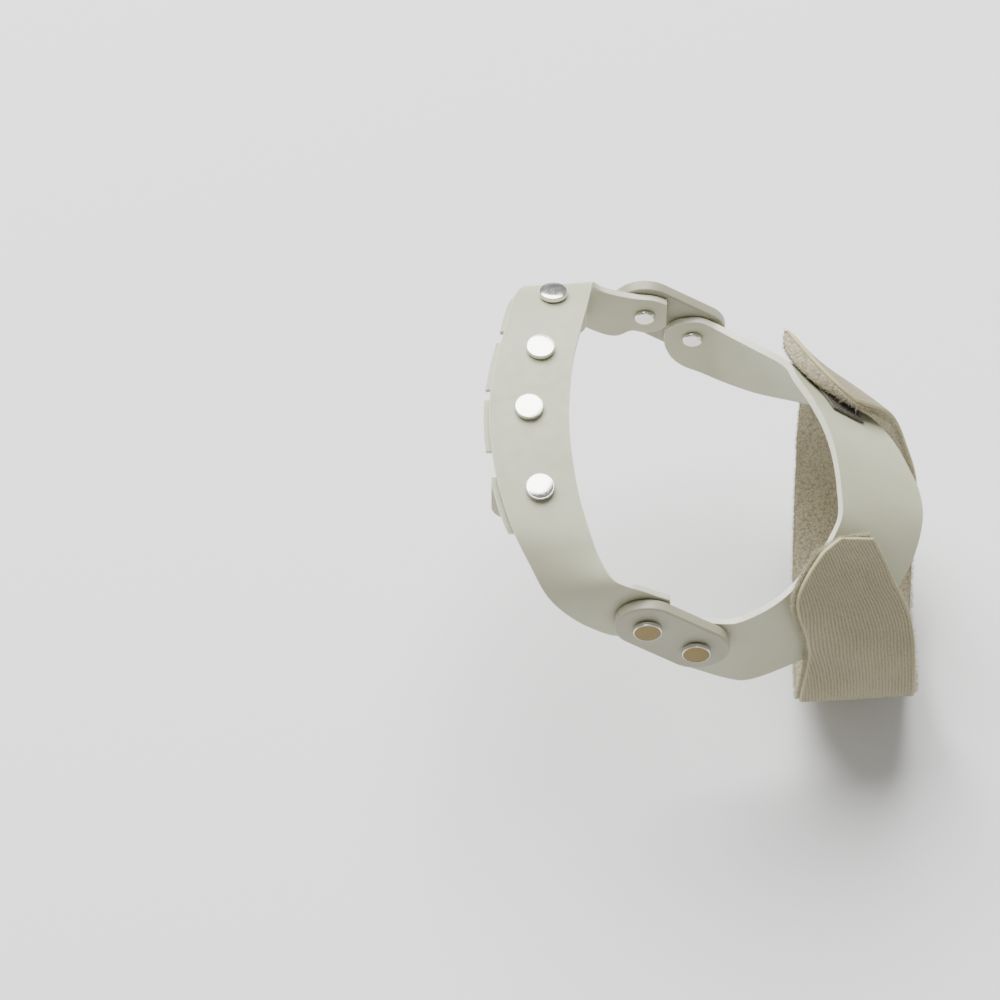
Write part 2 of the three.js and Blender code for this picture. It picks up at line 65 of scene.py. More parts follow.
# Sections of the plate from the radial side, each as its distal and proximal edge: x in
# PLATE_REACH, y in HALF_BREADTH, and z in PLATE_RISE above the hinges or PLATE_DROP below them.
PLATE_ROWS = [
    ((0.125, -1.000, 0.225), (0.115, -1.000, -0.798)),
    ((0.238, -1.000, 0.196), (0.277, -1.000, -1.000)),
    ((0.355, -0.964, 0.359), (0.475, -0.921, -0.923)),
    ((0.439, -0.903, 0.490), (0.598, -0.876, -0.745)),
    ((0.522, -0.798, 0.621), (0.724, -0.809, -0.563)),
    ((0.578, -0.717, 0.719), (0.822, -0.719, -0.409)),
    ((0.630, -0.602, 0.817), (0.902, -0.607, -0.274)),
    ((0.668, -0.476, 0.915), (0.963, -0.461, -0.120)),
    ((0.666, -0.306, 0.980), (0.996, -0.270, 0.000)),
    ((0.652, -0.115, 1.000), (0.986, -0.108, 0.014)),
    ((0.622, 0.076, 0.980), (0.943, 0.067, 0.000)),
    ((0.566, 0.292, 0.882), (0.885, 0.258, -0.058)),
    ((0.505, 0.485, 0.719), (0.801, 0.449, -0.168)),
    ((0.473, 0.629, 0.523), (0.698, 0.607, -0.433)),
    ((0.355, 0.807, 0.261), (0.515, 0.787, -0.769)),
    ((0.282, 0.900, 0.140), (0.360, 0.900, -0.940)),
    ((0.194, 0.985, 0.100), (0.216, 0.990, -0.962)),
    ((0.125, 1.000, 0.220), (0.115, 1.000, -0.798)),
]
# The plate's arm ends: turn in degrees from straight distal; upper and lower radius in
# ARM_END_RADIUS.
PLATE_END_ROWS = [(12, 1.00, 1.02), (35, 1.00, 1.12), (60, 0.96, 1.40), (80, 0.92, 1.72)]


def rail(points):
    """A smooth curve through the points, read at an array of row numbers."""
    points = np.array(points, float)
    padded = np.vstack([2 * points[0] - points[1], points, 2 * points[-1] - points[-2]])
    last = len(points) - 1

    def read(rows):
        rows = np.clip(np.asarray(rows, float), 0, last)
        start = np.minimum(rows.astype(int), last - 1)
        share = (rows - start)[:, None]
        p0, p1, p2, p3 = (padded[start + k] for k in range(4))
        d0, d1, d2 = (np.maximum(np.linalg.norm(b - a, axis=1), 1e-9)[:, None] ** 0.5
                      for a, b in ((p0, p1), (p1, p2), (p2, p3)))
        leaving = ((p1 - p0) / d0 - (p2 - p0) / (d0 + d1) + (p2 - p1) / d1) * d1
        arriving = ((p2 - p1) / d1 - (p3 - p1) / (d1 + d2) + (p3 - p2) / d2) * d1
        cubic = 2 * p1 - 2 * p2 + leaving + arriving
        square = -3 * p1 + 3 * p2 - 2 * leaving - arriving
        return p1 + leaving * share + square * share ** 2 + cubic * share ** 3

    return read


def ruled_surface(sections):
    """The surface between the distal and the proximal rail of a list of sections."""
    distal = rail([section[0] for section in sections])
    proximal = rail([section[1] for section in sections])

    def read(rows, shares):
        shares = np.asarray(shares, float)[:, None]
        points = distal(rows) * (1 - shares) + proximal(rows) * shares
        points[:, 1] = np.clip(points[:, 1], -HALF_BREADTH, HALF_BREADTH)
        return points

    return read


def unit(vectors):
    return vectors / np.linalg.norm(vectors, axis=1)[:, None]


def outward(surface, rows, shares, last, side=1):
    """Unit normals of a surface; side is -1 where its rows run round underneath."""
    rows = np.asarray(rows, float)
    shares = np.asarray(shares, float)
    along = (surface(np.minimum(rows + SLOPE_STEP, last), shares)
             - surface(np.maximum(rows - SLOPE_STEP, 0), shares))
    across = surface(rows, shares + SLOPE_STEP) - surface(rows, shares - SLOPE_STEP)
    return unit(np.cross(across, along) * side)


def add_mesh(name, points, faces):
    mesh = bpy.data.meshes.new(name)
    mesh.from_pydata([tuple(point) for point in points], [], faces)
    mesh.polygons.foreach_set("use_smooth", [True] * len(mesh.polygons))
    mesh.update()
    piece = bpy.data.objects.new(name, mesh)
    bpy.context.scene.collection.objects.link(piece)
    return piece


def sheet_faces(along, across, side=1):
    """Quads of a closed sheet of two grids, the outer grid first."""
    layer = (along + 1) * (across + 1)

    def at(i, j, level):
        return level * layer + i * (across + 1) + j

    faces = []
    for i in range(along):
        for j in range(across):
            faces.append((at(i, j, 0), at(i, j + 1, 0), at(i + 1, j + 1, 0), at(i + 1, j, 0)))
            faces.append((at(i, j, 1), at(i + 1, j, 1), at(i + 1, j + 1, 1), at(i, j + 1, 1)))
        faces.append((at(i, 0, 0), at(i + 1, 0, 0), at(i + 1, 0, 1), at(i, 0, 1)))
        faces.append((at(i, across, 0), at(i, across, 1),
                      at(i + 1, across, 1), at(i + 1, across, 0)))
    for j in range(across):
        faces.append((at(0, j, 0), at(0, j, 1), at(0, j + 1, 1), at(0, j + 1, 0)))
        faces.append((at(along, j, 0), at(along, j + 1, 0),
                      at(along, j + 1, 1), at(along, j, 1)))
    return faces if side > 0 else [face[::-1] for face in faces]


def grid_shares(along, across):
    u, v = np.meshgrid(np.linspace(0, 1, along + 1), np.linspace(0, 1, across + 1), indexing="ij")
    return u.ravel(), v.ravel()


def sheet_piece(name, surface, last, thickness, along, across, place=None):
    """A sheet of even thickness under a surface; finish_sheet rounds its cut edges."""
    u, v = grid_shares(along, across)
    rows, shares = place(u, v) if place else (u * last, v)
    face = surface(rows, shares)
    back = face - outward(surface, rows, shares, last) * thickness
    return add_mesh(name, np.vstack([face, back]), sheet_faces(along, across))


def round_edges(piece, width, edge_slot):
    """Rounds the sharp edges and gives the rounded strip its own material slot."""
    bevel = piece.modifiers.new("round_edges", "BEVEL")
    bevel.width = width
    bevel.segments = EDGE_SEGMENTS
    bevel.limit_method = "ANGLE"
    bevel.angle_limit = SHARP_TURN
    bevel.material = edge_slot
    piece.modifiers.new("even_shading", "WEIGHTED_NORMAL")


class Finish:
    """A material with a principled shader and short ways to add nodes to it."""

    def __init__(self, name):
        self.material = bpy.data.materials.new(name)
        self.material.use_nodes = True
        self.tree = self.material.node_tree
        self.shader = self.tree.nodes["Principled BSDF"]
        self.where = self.node("ShaderNodeTexCoord").outputs["Object"]

    def node(self, kind, inputs=None, **settings):
        node = self.tree.nodes.new(kind)
        for key, value in settings.items():
            setattr(node, key, value)
        for key, value in (inputs or {}).items():
            if isinstance(value, bpy.types.NodeSocket):
                self.tree.links.new(value, node.inputs[key])
            else:
                node.inputs[key].default_value = value
        return node

    def noise(self, scale, detail=3.0):
        noise = self.node("ShaderNodeTexNoise",
                          {"Vector": self.where, "Scale": scale, "Detail": detail})
        return noise.outputs["Fac"]

    def ramp(self, value, low, high, to_low, to_high):
        ramp = self.node("ShaderNodeMapRange", {
            "Value": value, "From Min": low, "From Max": high,
            "To Min": to_low, "To Max": to_high})
        return ramp.outputs[0]

    def blend(self, share, first, second):
        """Mixes two colours, or the colours of two sockets."""
        mix = self.node("ShaderNodeMix", data_type="RGBA")
        self.tree.links.new(share, mix.inputs[0])
        for socket, colour in ((mix.inputs[6], first), (mix.inputs[7], second)):
            if isinstance(colour, bpy.types.NodeSocket):
                self.tree.links.new(colour, socket)
            else:
                socket.default_value = (*colour, 1)
        return mix.outputs[2]

    def math(self, operation, first, second=0.0):
        return self.node("ShaderNodeMath", {0: first, 1: second}, operation=operation).outputs[0]

    def relief(self, height, depth, strength, under=None):
        inputs = {"Height": height, "Distance": depth, "Strength": strength}
        if under:
            inputs["Normal"] = under
        return self.node("ShaderNodeBump", inputs).outputs[0]

    def drive(self, **sockets):
        for name, source in sockets.items():
            self.tree.links.new(source, self.shader.inputs[name.replace("_", " ")])


def sheet_plastic_finish():
    """Matt sheet with a faint cloudy tone, fine leathery grain and a few rub marks."""
    finish = Finish("sheet_plastic")
    cloud = finish.ramp(finish.noise(45.0, 4.0), 0.3, 0.7, 0, 1)
    tone = finish.blend(cloud, (0.430, 0.430, 0.295), (0.475, 0.475, 0.332))
    rubs = finish.noise(320.0)
    grain = finish.node("ShaderNodeTexVoronoi", {"Vector": finish.where, "Scale": 2400.0})
    swell = finish.relief(finish.noise(110.0, 2.0), 0.0005, 0.15)
    finish.drive(Base_Color=tone, Roughness=finish.ramp(rubs, 0.3, 0.7, 0.40, 0.54),
                 Normal=finish.relief(grain.outputs["Distance"], 0.00006, 0.2, swell))
    return finish.material


def pale_edge_highlight_finish():
    """The sheet's cut edge, a little glossier than its faces and paler: own tone plus painted
    highlight.
    """
    finish = Finish("pale_edge_and_highlight")
    marks = finish.noise(900.0)
    # The paler tone is partly the cut edge's own and partly a painted highlight along the rims.
    finish.drive(Base_Color=finish.blend(marks, (0.62, 0.615, 0.49), (0.75, 0.745, 0.61)),
                 Normal=finish.relief(marks, 0.00008, 0.2))
    finish.shader.inputs["Roughness"].default_value = 0.36
    return finish.material


sheet_plastic = sheet_plastic_finish()
pale_edge_and_highlight = pale_edge_highlight_finish()


def finish_sheet(piece, body, node, edge_round=EDGE_ROUND):
    piece.data.materials.append(sheet_plastic)
    piece.data.materials.append(pale_edge_and_highlight)
    face_points = len(piece.data.vertices) // 2
    for face in piece.data.polygons:
        joins_both_faces = len({corner < face_points for corner in face.vertices}) == 2
        face.material_index = 1 if joins_both_faces else 0
    round_edges(piece, edge_round, edge_slot=1)
    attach(piece, body)
    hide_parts(node)


def plate_point(x, y, z):
    return (PLATE_REACH * x, HALF_BREADTH * y, z * (PLATE_DROP if z < 0 else PLATE_RISE))


def plate_end(side):
    sections = []
    for turn, upper, lower in PLATE_END_ROWS:
        angle = math.radians(turn)
        sections.append([
            (plate_pivot[0] - ARM_END_RADIUS * radius * math.cos(angle),
             SIDES[side] * HALF_BREADTH,
             plate_pivot[1] + ARM_END_RADIUS * radius * math.sin(angle))
            for radius, angle in ((upper, angle), (lower, -angle))])
    return sections


plate_sections = (
    plate_end("radial")
    + [(plate_point(*distal), plate_point(*proximal)) for distal, proximal in PLATE_ROWS]
    + plate_end("ulnar")[::-1])
plate_last = len(plate_sections) - 1
plate_surface = ruled_surface(plate_sections)
plate = sheet_piece("formed_wrist_plate", plate_surface, plate_last, SHEET_THICKNESS, *PLATE_GRID)
finish_sheet(plate, "plate", "wrist_plate")

# Finger band: a 19 mm strip of the same sheet, arched across the distal end, its two arms bent
# down and back to the hinges. It carries the separators.
BAND_REACH = 0.0335
BAND_RISE = 0.0253
BAND_WIDTH = 0.0189
BAND_CROWN_ROW = 7
BAND_GRID = (260, 12)

# Sections of the band from the radial side: across in HALF_BREADTH, then distal x and z and
# proximal x and z in BAND_REACH and BAND_RISE.
BAND_ROWS = [
    (-1.000, -0.387, -0.084, -0.151, 0.610),
    (-0.998, -0.641, 0.119, -0.302, 0.711),
    (-0.948, -0.866, 0.399, -0.418, 0.723),
    (-0.816, -1.009, 0.652, -0.513, 0.753),
    (-0.692, -1.104, 0.792, -0.573, 0.812),
    (-0.427, -1.216, 0.901, -0.664, 0.901),
    (-0.121, -1.279, 0.976, -0.715, 0.976),
    (0.112, -1.282, 1.000, -0.718, 1.000),
    (0.382, -1.234, 0.996, -0.688, 0.996),
    (0.566, -1.179, 0.972, -0.642, 0.972),
    (0.735, -1.136, 0.921, -0.596, 0.921),
    (0.874, -1.090, 0.845, -0.566, 0.858),
    (0.975, -1.020, 0.690, -0.543, 0.763),
    (1.000, -0.870, 0.380, -0.490, 0.645),
    (1.000, -0.641, 0.099, -0.373, 0.565),
    (1.000, -0.388, -0.087, -0.224, 0.506),
]
# The band's arm ends: turn of the round heel in degrees round the pivot; the ear's x and z in
# ARM_END_RADIUS.
BAND_END_ROWS = {
    "radial": [(-41, 0.768, 0.97), (-65, 0.551, 1.09), (-90, 0.333, 1.20), (-116, 0.188, 1.29)],
    "ulnar": [(-41, 0.768, 0.63), (-65, 0.551, 0.77), (-90, 0.333, 0.87), (-116, 0.072, 0.93)],
}


def band_end(side):
    sections = []
    y = SIDES[side] * HALF_BREADTH
    for turn, ear_x, ear_z in BAND_END_ROWS[side]:
        angle = math.radians(turn)
        sections.append([
            (band_pivot[0] + ARM_END_RADIUS * x, y, band_pivot[1] + ARM_END_RADIUS * z)
            for x, z in ((math.cos(angle), math.sin(angle)), (ear_x, ear_z))])
    return sections


def band_section(across, distal_x, distal_z, proximal_x, proximal_z):
    crown = BAND_ROWS[BAND_CROWN_ROW]
    middle = BAND_REACH * (distal_x + proximal_x) / 2
    half = BAND_WIDTH / 2 * (proximal_x - distal_x) / (crown[3] - crown[1])
    y = HALF_BREADTH * across
    return ((middle - half, y, BAND_RISE * distal_z), (middle + half, y, BAND_RISE * proximal_z))


band_sections = (band_end("radial") + [band_section(*row) for row in BAND_ROWS]
                 + band_end("ulnar")[::-1])
band_last = len(band_sections) - 1
band_surface = ruled_surface(band_sections)
band = sheet_piece("formed_finger_band", band_surface, band_last, SHEET_THICKNESS, *BAND_GRID)
finish_sheet(band, "band", "finger_band")

# Finger separators: four small angles of thinner sheet, each with a flange riveted under the band
# and a tongue with round corners that stands down from it.
SEPARATOR_THICKNESS = 0.0012
SEPARATOR_WIDTH = 0.018
SEPARATOR_LIP = 0.0013
FLANGE_LENGTH = 0.015
TONGUE_DROP = 0.015
TONGUE_BEND_RADIUS = 0.0018
SEPARATOR_CORNER = 0.005
BACK_HEAD_RADIUS = 0.0024
TONGUE_OFFSET = BACK_HEAD_RADIUS + GAP + TONGUE_BEND_RADIUS
FLANGE_STEPS = 12
BEND_STEPS = 10
CORNER_STEPS = 14
SEPARATOR_ACROSS = 8
SEPARATOR_EDGE_ROUND = EDGE_ROUND * 0.6
SEARCH_STEPS = 40

# Their rivets from the radial side: across in HALF_BREADTH; share of the band's width from its
# distal edge.
FINGER_RIVETS = [(-0.436, 0.52), (0.043, 0.50), (0.434, 0.55), (0.836, 0.52)]


def band_row_at(y):
    """The row of the band whose middle lies at y."""
    low = float(len(BAND_END_ROWS["radial"]))
    high = float(band_last - len(BAND_END_ROWS["ulnar"]))
    for _ in range(SEARCH_STEPS):
        middle = (low + high) / 2
        if band_surface([middle], [0.5])[0][1] < y:
            low = middle
        else:
            high = middle
    return (low + high) / 2


def separator_edge(seat_y, share):
    """One edge of a separator: under the band, round the bend and down the tongue."""
    tongue_y = seat_y + TONGUE_OFFSET - TONGUE_BEND_RADIUS
    first = band_row_at(tongue_y + TONGUE_BEND_RADIUS - FLANGE_LENGTH)
    rows = np.linspace(first, band_row_at(tongue_y), FLANGE_STEPS + 1)
    shares = np.full(len(rows), share)
    facing = outward(band_surface, rows, shares, band_last)
    path = list(band_surface(rows, shares) - facing * (SHEET_THICKNESS + GAP))
    start = path[-1]
    heading = path[-1] - path[-2]
    slope = math.atan2(heading[2], heading[1])
    for step in range(1, BEND_STEPS + 1):
        angle = slope + (-math.pi / 2 - slope) * step / BEND_STEPS
        path.append(start + TONGUE_BEND_RADIUS * np.array(
            (0, math.sin(slope) - math.sin(angle), math.cos(angle) - math.cos(slope))))
    foot = path[-1]
    for step in range(CORNER_STEPS + 1):
        turn = step / CORNER_STEPS * math.pi / 2
        path.append(foot - np.array((0, 0, TONGUE_DROP - SEPARATOR_CORNER * (1 - math.sin(turn)))))
    return np.array(path)


def between(points, rows):
    start = np.clip(np.floor(rows).astype(int), 0, len(points) - 2)
    share = (rows - start)[:, None]
    return points[start] * (1 - share) + points[start + 1] * share


def add_separator(number, seat_y, seat_row):
    edges = band_surface([seat_row, seat_row], [0, 1])
    width_here = np.linalg.norm(edges[1] - edges[0])
    distal = separator_edge(seat_y, -SEPARATOR_LIP / width_here)
    proximal = separator_edge(seat_y, (SEPARATOR_WIDTH - SEPARATOR_LIP) / width_here)
    last = len(distal) - 1

    def surface(rows, shares):
        rows = np.asarray(rows, float)
        shares = np.asarray(shares, float)[:, None]
        return between(distal, rows) * (1 - shares) + between(proximal, rows) * shares

    def place(u, v):
        """The tongue's edges draw in over its last rows, which rounds its two corners."""
        rows = u * last
        rise = np.minimum((last - rows) / CORNER_STEPS, 1)
        inset = SEPARATOR_CORNER / SEPARATOR_WIDTH * (1 - np.sin(rise * math.pi / 2))
        return rows, inset + v * (1 - 2 * inset)

    piece = sheet_piece(f"separator_{number}", surface, last, SEPARATOR_THICKNESS,
                        last, SEPARATOR_ACROSS, place)
    finish_sheet(piece, "band", f"finger_separator_{number}", SEPARATOR_EDGE_ROUND)


finger_seats = []
for number, (across, share) in enumerate(FINGER_RIVETS, start=1):
    row = band_row_at(HALF_BREADTH * across)
    middle = band_surface([row], [share])[0]
    facing = outward(band_surface, [row], [share], band_last)[0]
    finger_seats.append((Vector(middle), Vector(facing)))
    add_separator(number, middle[1], row)

# Links: moulded capsules 3 mm thick on the outer faces of the arms, each riveted to a band arm
# and a plate arm, so that each side bends at two pivots.
LINK_THICKNESS = 0.003
LINK_RADIUS = 0.0079
LINK_ROUND = 0.0005
LINK_ARC_STEPS = 40
LINK_ROUND_STEPS = 5


def link_plastic_finish():
    """Grey moulded plastic, smoother than the sheet, with a fine mould texture."""
    finish = Finish("link_plastic")
    cloud = finish.ramp(finish.noise(70.0), 0.3, 0.7, 0, 1)
    grain = finish.noise(2800.0, 2.0)
    finish.drive(Base_Color=finish.blend(cloud, (0.318, 0.308, 0.218), (0.358, 0.348, 0.250)),
                 Roughness=finish.ramp(finish.noise(400.0), 0.3, 0.7, 0.34, 0.46),
                 Normal=finish.relief(grain, 0.00005, 0.2))
    return finish.material


link_plastic = link_plastic_finish()


def capsule_ring(radius, y):
    """A capsule outline round the two pivots at one level out from the arms."""
    points = []
    for end in (1, -1):
        for step in range(LINK_ARC_STEPS + 1):
            angle = math.pi * (step / LINK_ARC_STEPS - 0.5) + (math.pi if end < 0 else 0)
            x = end * PIVOT_SPACING / 2 + radius * math.cos(angle)
            z = radius * math.sin(angle)
            points.append((x * math.cos(LINK_SLOPE) + z * math.sin(LINK_SLOPE), y,
                           PIVOT_RISE + z * math.cos(LINK_SLOPE) - x * math.sin(LINK_SLOPE)))
    return points


def add_link(side):
    half_turn = [math.pi / 2 * step / LINK_ROUND_STEPS for step in range(LINK_ROUND_STEPS + 1)]
    lower = [(LINK_ROUND * (1 - math.cos(turn)), LINK_RADIUS - LINK_ROUND * (1 - math.sin(turn)))
             for turn in half_turn]
    upper = [(LINK_THICKNESS - level, radius) for level, radius in reversed(lower)]
    inner_ring = (LINK_THICKNESS, LINK_RADIUS - 2 * LINK_ROUND)
    levels = lower + upper + [inner_ring]
    points = []
    for level, radius in levels:
        points += capsule_ring(radius, SIDES[side] * (HALF_BREADTH + GAP + level))
    count = len(points) // len(levels)
    faces = [tuple(range(count))[::-1], tuple(range(len(points) - count, len(points)))]
    for ring in range(len(levels) - 1):
        for k in range(count):
            corner = ring * count + k
            beside = ring * count + (k + 1) % count
            faces.append((corner, beside, beside + count, corner + count))
    if side == "ulnar":
        faces = [face[::-1] for face in faces]
    piece = add_mesh(f"hinge_link_{side}", points, faces)
    piece.modifiers.new("even_shading", "WEIGHTED_NORMAL")
    piece.data.materials.append(link_plastic)
    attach(piece, "links")
    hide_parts(f"{side}_link")


for side in SIDES:
    add_link(side)

# Rivets: nickel-plated steel with 6.7 mm flat caps, a 3 mm shank and a small back head. Four hold
# the separators to the band and four are the hinge pins, whose cap faces carry a warm tan painted
# reflection.
SHANK_RADIUS = 0.0015
CAP_RADIUS = 0.00335
CAP_HEIGHT = 0.0012
CAP_EDGE_ROUND = 0.00018
CAP_GROOVE = 0.965
CAP_GROOVE_FLOOR = 0.955
CAP_FACE = 0.94
CAP_GROOVE_DEPTH = 0.00005
BACK_HEAD_HEIGHT = 0.0008
BACK_HEAD_ROUND = BACK_HEAD_HEIGHT * 0.7
RIVET_SIDES = 64
RIVET_ROUND_STEPS = 6
RIVET_SHARP_TURN = math.radians(35)


def rivet_finish(name, dull_tone, bright_tone, gloss):
    """Plated metal with fine scratches and patches of faint dulling."""
    finish = Finish(name)
    dull = finish.noise(600.0, 4.0)
    scratches = finish.node("ShaderNodeTexNoise", {
        "Vector": finish.node("ShaderNodeMapping", {
            "Vector": finish.where, "Scale": (400.0, 6000.0, 400.0)}).outputs[0],
        "Scale": 1.0, "Detail": 2.0})
    dents = finish.relief(dull, 0.00004, 0.05)
    finish.drive(Base_Color=finish.blend(dull, dull_tone, bright_tone),
                 Roughness=finish.ramp(dull, 0.3, 0.7, *gloss),
                 Normal=finish.relief(scratches.outputs["Fac"], 0.00002, 0.06, dents))
    finish.shader.inputs["Metallic"].default_value = 1.0
    return finish.material


nickel = rivet_finish("nickel_plate", (0.74, 0.73, 0.70), (0.88, 0.87, 0.84), (0.12, 0.22))
# The hinge caps' faces are tinted warm tan as a painted reflection of warm surroundings.
painted_reflection_face = rivet_finish("cap_face_painted_reflection", (0.17, 0.128, 0.056), (0.25, 0.195, 0.095), (0.42, 0.55))


def rivet_profile(grip):
    """Radius and level from the back head's middle to the cap's middle; the last rings are the
    cap's flat face. Level 0 is the face that the cap sits on."""
    cap_foot = GAP
    cap_top = GAP + CAP_HEIGHT
    head_top = -(grip + GAP)
    head_foot = head_top - BACK_HEAD_HEIGHT
    turns = [math.pi / 2 * step / RIVET_ROUND_STEPS for step in range(RIVET_ROUND_STEPS + 1)]
    head = [(0.0, head_foot), (BACK_HEAD_RADIUS * 0.5, head_foot)]
    head += [(BACK_HEAD_RADIUS - BACK_HEAD_ROUND * (1 - math.sin(turn)),
              head_foot + BACK_HEAD_ROUND * (1 - math.cos(turn))) for turn in turns]
    shank = [(BACK_HEAD_RADIUS, head_top), (SHANK_RADIUS, head_top), (SHANK_RADIUS, cap_foot),
             (CAP_RADIUS - CAP_EDGE_ROUND, cap_foot), (CAP_RADIUS, cap_foot + CAP_EDGE_ROUND)]
    rim = [(CAP_RADIUS - CAP_EDGE_ROUND * (1 - math.cos(turn)),
            cap_top - CAP_EDGE_ROUND * (1 - math.sin(turn))) for turn in turns]
    groove = [(CAP_RADIUS * CAP_GROOVE, cap_top),
              (CAP_RADIUS * CAP_GROOVE_FLOOR, cap_top - CAP_GROOVE_DEPTH)]
    face = [(CAP_RADIUS * CAP_FACE, cap_top - CAP_GROOVE_DEPTH * 0.6), (CAP_RADIUS * 0.4, cap_top),
            (0.0, cap_top)]
    return head + shank + rim + groove + face, len(face)


def add_rivet(name, body, seat, direction, grip, face_slot):
    profile, face_rings = rivet_profile(grip)
    turn_to = direction.to_track_quat("Z", "Y")
    points = []
    for radius, level in profile:
        for k in range(RIVET_SIDES if radius > 0 else 1):
            angle = 2 * math.pi * k / RIVET_SIDES
            points.append(seat + turn_to @ Vector(
                (radius * math.cos(angle), radius * math.sin(angle), level)))
    rings = len(profile) - 2
    top = len(points) - 1
    outer_ring = 1 + (rings - 1) * RIVET_SIDES
    faces = []
    slots = []
    for k in range(RIVET_SIDES):
        beside = (k + 1) % RIVET_SIDES
        faces += [(0, 1 + beside, 1 + k), (top, outer_ring + k, outer_ring + beside)]
        slots += [0, face_slot]
        for ring in range(rings - 1):
            low = 1 + ring * RIVET_SIDES
            high = low + RIVET_SIDES
            faces.append((low + k, low + beside, high + beside, high + k))
            slots.append(face_slot if ring >= rings - face_rings else 0)
    piece = add_mesh(f"turned_{name}", points, faces)
    piece.data.set_sharp_from_angle(angle=RIVET_SHARP_TURN)
    piece.data.materials.append(nickel)
    piece.data.materials.append(painted_reflection_face)
    piece.data.polygons.foreach_set("material_index", slots)
    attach(piece, body)
    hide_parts(name)


for number, (seat, facing) in enumerate(finger_seats, start=1):
    add_rivet(f"finger_rivet_{number}", "band", seat, facing,
              SHEET_THICKNESS + GAP + SEPARATOR_THICKNESS, face_slot=0)
for side, sign in SIDES.items():
    for arm, pivot in (("band", band_pivot), ("plate", plate_pivot)):
        seat = Vector((pivot[0], sign * (HALF_BREADTH + GAP + LINK_THICKNESS), pivot[1]))
        add_rivet(f"{side}_{arm}_rivet", "links", seat, Vector((0, sign, 0)),
                  LINK_THICKNESS + GAP + SHEET_THICKNESS, face_slot=1)

# Hook patches: squares of adhesive hook tape on the plate, a woven ground with rows of fine nylon
# hooks that grip the strap's pile.
HOOK_THICKNESS = 0.001
HOOK_GROUND = 0.00045
HOOK_PITCH = 0.0009
HOOK_RADIUS = 0.00009
HOOK_BEND = 0.00024
HOOK_LEAN = HOOK_BEND * 1.2
HOOK_SIDES = 4
TAPE_ALONG = 60
TAPE_ACROSS = 30

# A hook from its stem to its point: how far below its top, in HOOK_BEND, and how far over to the
# side, in HOOK_LEAN.
HOOK_POINTS = ((1.0, 0.0), (0.3, 0.2), (0.0, 0.7), (0.4, 1.2))
# First and last row of the plate counted from 1; distal and proximal share of its width.
HOOK_PATCHES = {"radial": (5.0, 6.9, 0.15, 0.75), "ulnar": (12.0, 14.6, 0.24, 0.62)}


def hook_finish():
    """Dark taupe woven tape; the hooks on it share its finish."""
    finish = Finish("hook_tape")
    weave = finish.node("ShaderNodeTexVoronoi", {"Vector": finish.where, "Scale": 1700.0})
    cells = weave.outputs["Distance"]
    finish.drive(Base_Color=finish.blend(cells, (0.040, 0.035, 0.028), (0.140, 0.128, 0.100)),
                 Normal=finish.relief(cells, 0.0002, 0.5))
    finish.shader.inputs["Roughness"].default_value = 0.7
    return finish.material


hook_tape = hook_finish()


def plate_row_of(row):
    return np.asarray(row, float) + len(PLATE_END_ROWS) - 1


def tube_along(path, radius, sides, points, faces):
    """Adds a thin tube with a pointed end to a mesh's lists. radius is one value for each step."""
    path = np.asarray(path)
    first = len(points)
    heading = path[1] - path[0]
    heading = heading / np.linalg.norm(heading)
    helper = np.array((0.0, 0.0, 1.0)) if abs(heading[2]) < 0.9 else np.array((1.0, 0.0, 0.0))
    side = np.cross(heading, helper)
    side /= np.linalg.norm(side)
    other = np.cross(heading, side)
    for place, width in zip(path[:-1], radius):
        for k in range(sides):
            angle = 2 * math.pi * k / sides
            points.append(place + width * (side * math.cos(angle) + other * math.sin(angle)))
    points.append(path[-1])
    tip = len(points) - 1
    steps = len(path) - 1
    faces.append(tuple(first + k for k in reversed(range(sides))))
    for step in range(steps - 1):
        for k in range(sides):
            low = first + step * sides
            beside = (k + 1) % sides
            faces.append((low + k, low + beside, low + sides + beside, low + sides + k))
    for k in range(sides):
        low = first + (steps - 1) * sides
        faces.append((low + k, low + (k + 1) % sides, tip))


def add_hook_patch(side, first_row, last_row, distal_share, proximal_share):
    u, v = grid_shares(TAPE_ALONG, TAPE_ACROSS)
    rows = plate_row_of(first_row + (last_row - first_row) * u)
    shares = distal_share + (proximal_share - distal_share) * v
    middle = plate_surface(rows, shares)
    facing = outward(plate_surface, rows, shares, plate_last)
    points = list(np.vstack([middle + facing * (GAP + HOOK_GROUND), middle + facing * GAP]))
    faces = sheet_faces(TAPE_ALONG, TAPE_ACROSS)
    distal_edge = middle.reshape(TAPE_ALONG + 1, TAPE_ACROSS + 1, 3)[:, 0]
    length = np.linalg.norm(np.diff(distal_edge, axis=0), axis=1).sum()
    width = np.linalg.norm(middle[TAPE_ACROSS] - middle[0])
    lines = max(int(length / HOOK_PITCH), 1)
    columns = max(int(width / HOOK_PITCH), 1)
    top = GAP + HOOK_THICKNESS - HOOK_RADIUS
    for i in range(lines):
        for j in range(columns):
            row = plate_row_of([first_row + (last_row - first_row) * (i + 0.5) / lines])
            share = [distal_share + (proximal_share - distal_share) * (j + 0.5) / columns]
            foot = plate_surface(row, share)[0]
            up = outward(plate_surface, row, share, plate_last)[0]
            aside = plate_surface(row + SLOPE_STEP, share)[0] - foot
            aside = aside / np.linalg.norm(aside) * (1 if (i + j) % 2 else -1)
            path = [foot + up * (GAP + HOOK_GROUND * 0.5)]
            path += [foot + up * (top - HOOK_BEND * below) + aside * HOOK_LEAN * over
                     for below, over in HOOK_POINTS]
            tube_along(path, [HOOK_RADIUS] * len(HOOK_POINTS), HOOK_SIDES, points, faces)
    piece = add_mesh(f"hook_tape_{side}", points, faces)
    piece.data.set_sharp_from_angle(angle=SHARP_TURN)
    piece.data.materials.append(hook_tape)
    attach(piece, "plate")
    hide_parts(f"{side}_hook_patch")


for side, patch in HOOK_PATCHES.items():
    add_hook_patch(side, *patch)

